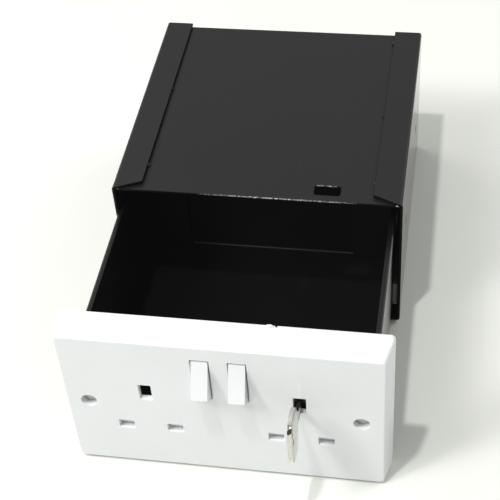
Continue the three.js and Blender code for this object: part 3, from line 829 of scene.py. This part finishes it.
def acrossX(p, w):
    # a path in y and z, with its width in x
    return np.column_stack([w, p[:, 0], p[:, 1]])


def makeTop():
    # top panel and back: a folded blank, its path in y and z
    h = housing
    half, top, front, back, low = h["panel"]
    path = bentPath([(front, top), (back, top), (back, low)], h["fold"], h["sheet"])
    end = path[0][-1]
    x, y, width, length, corner = h["slot"]
    radius, _, across, rise = h["hole"]
    holes = [roundedLoop(y - front, x, length, width, corner, 5)]
    holes += [circleLoop(distanceTo(path, np.array([back, rise])), side, radius, 32) for side in across]
    outline = [(0, -half), (end, -half), (end, half), (0, half)]
    shape = Shape().add(*foldedSheet(path, outline, holes, acrossX))
    options = {"replaces": ("housing_top",), "bevel": h["edge"], "cut": steelCut}
    return shape.build("top_skin", "housing", "coated_steel", steel, housingOrigin, **options)


makeWrap()
makeTop()

tackWelds = {
    # right and left: each weld's y, length and width
    "seam": 55.0,
    "overlap": 0.3,
    "floor": 77.45,
    "right": ((57.3, 2.4, 1.5), (-3.0, 1.5, 1.2), (-51.6, 3.4, 1.9)),
    "left": ((10.6, 1.7, 1.3), (-49.0, 2.6, 1.6), (-17.4, 1.0, 0.8)),
    "rise": (1.62, 0.12),
    "waves": (0.16, 0.10, 0.05),
}


def makeWelds():
    # small lumps along the two seams of the top: each is a half ball of its own length and width, pushed in
    # and out by two slow waves of the angle
    t, shape = tackWelds, Shape()
    slow, quick, upright = t["waves"]
    tall, less = t["rise"]
    u = np.linspace(0, 2 * np.pi, 28, endpoint=False)
    v = np.linspace(0, np.pi / 2, 8)[:, None]
    for side, spots in ((1, t["right"]), (-1, t["left"])):
        for number, (y, length, width) in enumerate(spots):
            wave = 1 + slow * np.sin(2 * u + number * 1.7 + side) + quick * np.sin(5 * u + number)
            x = side * t["seam"] - side * t["overlap"] + 0.5 * width * wave * np.cos(v) * np.cos(u)
            rise = (tall - less * number) * np.sin(v) * (1 + upright * np.sin(3 * u + side))
            dome = [x, y + 0.5 * length * wave * np.cos(v) * np.sin(u), t["floor"] + rise]
            dome = np.stack(dome, axis=-1)
            shape.rings(dome).fill([dome[0]])
    return shape.build("tack_welds", "housing", "coated_steel", steel, smoothAngle=60)


makeWelds()
print("housing done")

tray = {
    "left": -66.7,
    "right": 65.5,
    "low": 1.5,
    "rim": 62.7,
    "front": (0.3, 1.8),  # wall, flanges
    "back": (124.5, 127.2),  # flanges, wall
    "sheet": 1.2,
    "fold": 1.6,
    "bend": 2.8,  # radius of the floor's two long folds
    "flange": (14.0, 23.0),  # front, rear
    "hem": (7.0, 0.45, 1.5, 0.5),  # height, crown's radius, swell's reach, edge's radius
    "roll": ((0.25, 2.05), (0.35, 2.4)),  # left and right: bulge, thickness
    "lock": (34.0, 48.6, 8.3, 7.3),  # x, z, radius, half width over its flats
    "screw": (60.3, 41.0, 2.05),  # x, z, radius
    "edge": 0.45,
}


def makeTrayWalls():
    # front wall, floor and back wall: one strip with two folds, its path in y and z
    t = tray
    low, rim, front, back = t["low"], t["rim"], t["front"][0], t["back"][1]
    path = bentPath([(front, rim), (front, low), (back, low), (back, rim)], t["bend"], t["sheet"])
    path = roundEnds(path, t["sheet"])
    end, left, right = path[0][-1], t["left"] + t["fold"], t["right"] - t["fold"]
    x, z, radius, flat = t["lock"]
    barrel = circleLoop(rim - z, x, radius, 40)
    barrel[:, 1] = np.clip(barrel[:, 1], x - flat, x + flat)
    screwX, screwZ, bore = t["screw"]
    holes = [barrel] + [circleLoop(rim - screwZ, side * screwX, bore, 24) for side in (-1, 1)]
    outline = [(0, left), (end, left), (end, right), (0, right)]
    points, faces, _ = foldedSheet(path, outline, holes, acrossX)
    options = {"replaces": ("drawer_tray",), "bevel": t["edge"]}
    shape = Shape().add(points, faces)
    return shape.build("tray_walls", "drawer", "coated_steel", steelTray, plateOrigin, **options)


def prism(shape, outline, place, start, stop):
    # an outline carried straight from start to stop, closed at both ends
    ends = [place(outline, np.full(len(outline), float(v))) for v in (start, stop)]
    shape.rings(ends).fill([ends[0]]).fill([ends[1]])


def makeTraySides():
    # the two sides, each with a hemmed rim and a lip under the floor's edge, are an outline of straight lines
    # and arcs carried along y; the flange at each end is one carried along z
    t, shape = tray, Shape()
    wall, fold, low, rim = t["sheet"], t["fold"], t["low"], t["rim"]
    hem, crown, ease, tuck = t["hem"]
    y0, y1 = t["front"][1], t["back"][0]
    inner = fold - wall
    for edge, side, (out, thick) in ((t["left"], 1, t["roll"][0]), (t["right"], -1, t["roll"][1])):
        section = np.concatenate([
            [(fold, low)],
            arcPoints(fold, low + fold, fold, 270, 180),
            [(0, rim - hem - ease), (-0.5 * out, rim - hem), (-out, rim - hem + ease)],
            arcPoints(crown - out, rim - crown, crown, 180, 90),
            arcPoints(thick - crown, rim - crown, crown, 90, 0),
            arcPoints(thick - tuck, rim - hem + tuck, tuck, 0, -90, 4),
            [(wall, rim - hem)],
            arcPoints(fold, low + fold, inner, 180, 270),
        ])
        section[:, 0] = edge + side * section[:, 0]
        prism(shape, section, lambda p, w: np.column_stack([p[:, 0], w, p[:, 1]]), y0 + fold, y1 - fold)
        for y, way, flange in ((y0, 1, t["flange"][0]), (y1, -1, t["flange"][1])):
            corner = np.concatenate([
                arcPoints(fold, fold, fold, 180, 270),
                [(flange, 0), (flange, wall)],
                arcPoints(fold, fold, inner, 270, 180),
            ])
            corner = np.column_stack([edge + side * corner[:, 0], y + way * corner[:, 1]])
            prism(shape, corner, lambda p, w: np.column_stack([p[:, 0], p[:, 1], w]), low + fold, rim)
    options = {"replaces": ("drawer_tray",)}
    return shape.build("tray_sides", "drawer", "coated_steel", steelTray, plateOrigin, **options)


makeTrayWalls()
makeTraySides()
print("tray done")

keySize = {
    "axis": (34.0, 48.6),  # the plug's x and z
    "turn": (0.1, 2.5),  # the y that it leans about, degrees
    "thickness": 2.0,
    "bow": (7.3, 14.6, 30.0, 2.6),  # gap to the plate, length, height, power
    "blade": (4.4, 4.4, 1.2),  # height, end's y, slant of the tip
    "notch": (3, 2.4, 0.5),  # count, pitch, depth
    "ring": (18.3, 2.0),  # in front of the plate by, radius
    "groove": (-21.0, 3.4, 1.0, 0.5, 0.15),  # start and end in y, width, depth, corner
    "round": 0.32,
}


def keyOutline():
    # a superellipse for the bow, open at the back where the blade's straight outline joins it
    k = keySize
    gap, length, height, power = k["bow"]
    blade, end, tip = k["blade"]
    middle = -plate["depth"] - gap - length / 2
    start = math.asin((blade / height) ** (power / 2))
    a = np.linspace(start, 2 * np.pi - start, 150)
    oval = [np.sign(v) * np.abs(v) ** (2 / power) for v in (np.cos(a), np.sin(a))]
    bow = np.stack([middle + length / 2 * oval[0], height / 2 * oval[1]], axis=1)
    half = blade / 2
    nose = [(end - tip, -half), (end, tip - half), (end, half - tip), (end - tip, half)]
    count, pitch, deep = k["notch"]
    for i in range(count):
        valley = end - tip - pitch * (i + 0.5)
        nose += [(valley, half - deep * (1 + i % 2)), (valley - pitch / 2, half)]
    return np.concatenate([bow, nose])


def drawnIn(loop, inset):
    # each corner moves along the middle of its two sides' normals, so far that the sides move by the inset
    ahead, behind = np.roll(loop, -1, axis=0) - loop, loop - np.roll(loop, 1, axis=0)
    ahead = ahead / np.linalg.norm(ahead, axis=1, keepdims=True)
    behind = behind / np.linalg.norm(behind, axis=1, keepdims=True)
    along = ahead + behind
    stretch = 2 / np.maximum((along * along).sum(1, keepdims=True), 1.6)
    return loop + np.stack([-along[:, 1], along[:, 0]], axis=1) * stretch * inset


def makeKey():
    # the outline and the ring hole are carried through the thickness, with a quarter round at each face; the
    # groove is sunk in one face, and the whole leans about the lock's plug
    k, shape = keySize, Shape()
    half, soft = k["thickness"] / 2, k["round"]
    turn = np.linspace(0, np.pi / 2, 6)
    inset, depth = soft * (1 - np.sin(turn)), -half + soft * (1 - np.cos(turn))
    inset, depth = np.concatenate([inset, inset[::-1]]), np.concatenate([depth, -depth[::-1]])
    out, radius = k["ring"]
    ringAt = -plate["depth"] - out

    def upright(loop, x):
        return np.column_stack([np.full(len(loop), float(x)), loop])

    rim = [upright(drawnIn(keyOutline(), i), x) for i, x in zip(inset, depth)]
    ring = [upright(circleLoop(ringAt, 0, radius + i, 40), x) for i, x in zip(inset, depth)]
    start, end, width, deep, corner = k["groove"]
    groove = roundedLoop((start + end) / 2, 0, end - start, width, corner, 3)
    groove = [upright(groove, x) for x in (half, half - deep)]
    for stack in (rim, ring, groove):
        shape.rings(stack)
    shape.fill([rim[0], ring[0]]).fill([rim[-1], ring[-1], groove[0]]).fill([groove[1]])
    about, lean = k["turn"][0], math.radians(k["turn"][1])
    points = np.concatenate(shape.points)
    x, y = points[:, 0].copy(), points[:, 1] - about
    points[:, 0] = k["axis"][0] + x * math.cos(lean) + y * math.sin(lean)
    points[:, 1] = about - x * math.sin(lean) + y * math.cos(lean)
    points[:, 2] += k["axis"][1]
    shape.points = [points]
    options = {"smoothAngle": 30, "replaces": ("key",)}
    return shape.build("key_skin", "key_body", "nickel", keyNickel, plateOrigin, **options)


makeKey()
print("key done")

screwSize = {
    "middle": (60.3, 41.0),
    "head": (3.3, -12.1, -9.9),  # radius, front's and back's y
    "dome": 0.55,
    "corner": (0.9, 0.25, 0.45),  # share of the radius where it starts, fall, depth
    "cross": (2.0, 0.42, 0.2),  # half length, half width, depth
    "fade": (0.25, 0.12),  # half the soft zone at a bar's end and side
    "shank": (1.75, 5.2, 0.4),  # radius, end's y, point
}


def makeScrew(hand, side):
    # a profile turned about its axis: the head's dome falls back with the square of the radius, and the
    # cross in it is two soft-edged bars that fade at their ends
    s = screwSize
    radius, front, back = s["head"]
    reach, half, deep = s["cross"]
    endFade, sideFade = s["fade"]
    u = np.linspace(0, 2 * np.pi, 72, endpoint=False)[None, :]
    share = np.concatenate([np.linspace(0.02, 0.9, 22), [0.95, 0.985, 1.0]])[:, None]
    x, z = radius * share * np.cos(u), radius * share * np.sin(u)

    def bar(across, along):
        edge = ((half + sideFade - np.abs(across)) / (2 * sideFade)).clip(0, 1)
        return edge * ((reach + endFade - np.abs(along)) / (2 * endFade)).clip(0, 1)

    begins, falls, rimDrop = s["corner"]
    corner = falls * ((share - begins) / (1 - begins)).clip(0, 1) ** 2
    y = front + s["dome"] * share**2 + corner + deep * np.maximum(bar(x, z), bar(z, x))
    shank, end, point = s["shank"]
    rim = front + s["dome"] + rimDrop
    sides = [(radius, rim), (radius, back), (shank, back), (shank, end - point), (shank - point, end)]
    out, depth = np.array(sides)[:, :1], np.array(sides)[:, 1:] + 0 * u
    head = np.stack([x, y, z], axis=-1)
    stem = np.stack([out * np.cos(u), depth, out * np.sin(u)], axis=-1)
    stack = np.concatenate([head, stem]) + np.array([side * s["middle"][0], 0, s["middle"][1]])
    shape = Shape().rings(stack).fill([stack[0]]).fill([stack[-1]])
    options = {"replaces": ("faceplate_screw_" + hand,)}
    return shape.build("screw_" + hand, "drawer", "zinc_steel", screwZinc, plateOrigin, **options)


makeScrew("left", -1)
makeScrew("right", 1)
print("screws done")

rounded = {
    # lock, nuts and the pieces behind the plate: how far each one's edges are rounded
    "guide_pad": 0.4,
    "rocker_frame": 0.25,
    "socket_blank_left": 0.2,
    "socket_blank_right": 0.2,
    "rocker_pin_left": 0.2,
    "rocker_pin_right": 0.2,
    "faceplate_nut_left": 0.3,
    "faceplate_nut_right": 0.3,
    "lock_body": 0.3,
    "lock_nut": 0.35,
    "lock_plug": 0.2,
    "cam_washer": 0.12,
    "lock_cam": 0.25,
    "cam_screw": 0.25,
}
for nodeName, width in rounded.items():
    soften(nodeName, width)
print("small pieces done:", len(rounded))

floorSize = {
    # reach in metres; front and rear are a y and a z each
    "reach": 3.0,
    "front": (-152.0, -1.8),
    "rear": (67.2, 0.0),
    "tone": (0.80, 0.81, 0.768),
    "roughness": 0.75,
}


def makeFloor():
    # a plane through the plate's lower edge and the housing's rear lower edge: z rises straight with y
    f = floorSize
    slope = (f["rear"][1] - f["front"][1]) / (f["rear"][0] - f["front"][0])
    u = np.linspace(-f["reach"], f["reach"], 9)
    x, y = np.meshgrid(u, u, indexing="ij")
    z = (f["rear"][1] * mm) + slope * (y - f["rear"][0] * mm)
    mesh = bpy.data.meshes.new("floor")
    mesh.from_pydata(np.stack([x, y, z], axis=-1).reshape(-1, 3).tolist(), [], gridFaces(9, 9))
    work = bmesh.new()
    work.from_mesh(mesh)
    bmesh.ops.recalc_face_normals(work, faces=work.faces)
    for face in work.faces:
        if face.normal.z < 0:
            face.normal_flip()
    work.to_mesh(mesh)
    work.free()
    finish = Finish("floor", roughness=f["roughness"], ior=1.4)
    paper = finish.noise(3.0, 3.0)
    finish.feed(colour=finish.mix(paper.step(0.35, 0.65), grey(0.97, f["tone"]), grey(1.0, f["tone"])))
    mesh.materials.append(finish.material)
    floor = bpy.data.objects.new("floor", mesh)
    bpy.context.scene.collection.objects.link(floor)


makeFloor()

lamps = {
    # name: (direction to the lamp, distance, width, power)
    "spot": ((-0.125, -0.29, 1.0), 1.6, 0.07, 9.0),
    "windowCore": ((-0.71, -0.58, 1.0), 1.6, 0.19, 3.0),
    "window": ((-0.71, -0.58, 1.0), 1.6, 0.48, 5.9),
    "windowLow": ((-0.60, -0.65, 1.0), 1.6, 0.32, 1.1),
    "windowTop": ((-0.50, -0.36, 1.0), 1.6, 0.40, 3.5),
    "leftWall": ((-1.6, -0.2, 1.0), 1.6, 0.80, 2.4),
    "rightRear": ((0.9, 0.6, 1.0), 1.6, 0.80, 5.1),
    "leftRear": ((-0.9, 0.6, 1.0), 1.6, 0.80, 3.2),
    "glint": ((-0.127, -1.573, 0.224), 1.6, 0.21, 0.55),
}
room = {
    "aim": (0.0, -0.06, 0.03),
    "tone": (0.98, 1.0, 0.96, 1),
    "light": 0.415,
    "blacks": (-0.0024, -0.0027, -0.0024),
}


def makeLamps():
    # round lamps at their distance from the aim, turned towards it
    aim = Vector(room["aim"])
    for name, (direction, distance, width, power) in lamps.items():
        data = bpy.data.lights.new(name, "AREA")
        data.shape, data.size, data.energy = "DISK", width, power
        lamp = bpy.data.objects.new(name, data)
        lamp.location = aim + Vector(direction).normalized() * distance
        lamp.rotation_euler = (lamp.location - aim).to_track_quat("Z", "Y").to_euler()
        bpy.context.scene.collection.objects.link(lamp)


def makeRoom():
    # even light from all round, and a plain view with its blacks lifted a little
    world = bpy.data.worlds.new("room")
    world.use_nodes = True
    background = world.node_tree.nodes["Background"]
    background.inputs["Color"].default_value = room["tone"]
    background.inputs["Strength"].default_value = room["light"]
    bpy.context.scene.world = world
    view = bpy.context.scene.view_settings
    view.view_transform, view.look = "Standard", "None"
    view.use_curve_mapping = True
    view.curve_mapping.black_level = room["blacks"]
    view.curve_mapping.update()


makeLamps()
makeRoom()

camera = {
    # place in millimetres, turn as a rotation vector in radians, focal length in pixels of the photograph
    "place": (91.75, -502.801, 485.293),
    "turn": (2.351943, 0.155019, -0.148177),
    "focal": 1290.36,
    "pixels": 500.0,
    "sensor": 36.0,
    "clip": (0.01, 20),
}


def makeCamera():
    # the turn takes the scene to a view along z with y down; Blender's own looks the other way, with y up
    c = camera
    data = bpy.data.cameras.new("camera")
    data.sensor_width = c["sensor"]
    data.sensor_fit = "HORIZONTAL"
    data.lens = c["focal"] / c["pixels"] * c["sensor"]
    data.clip_start, data.clip_end = c["clip"]
    view = bpy.data.objects.new("camera", data)
    turn = Vector(c["turn"])
    toView = Matrix.Rotation(turn.length, 3, turn.normalized())
    flip = Matrix(((1, 0, 0), (0, -1, 0), (0, 0, -1)))
    view.matrix_world = Matrix.Translation(Vector(c["place"]) * mm) @ (flip @ toView).transposed().to_4x4()
    bpy.context.scene.collection.objects.link(view)
    bpy.context.scene.camera = view


makeCamera()
print("floor, light and camera done")
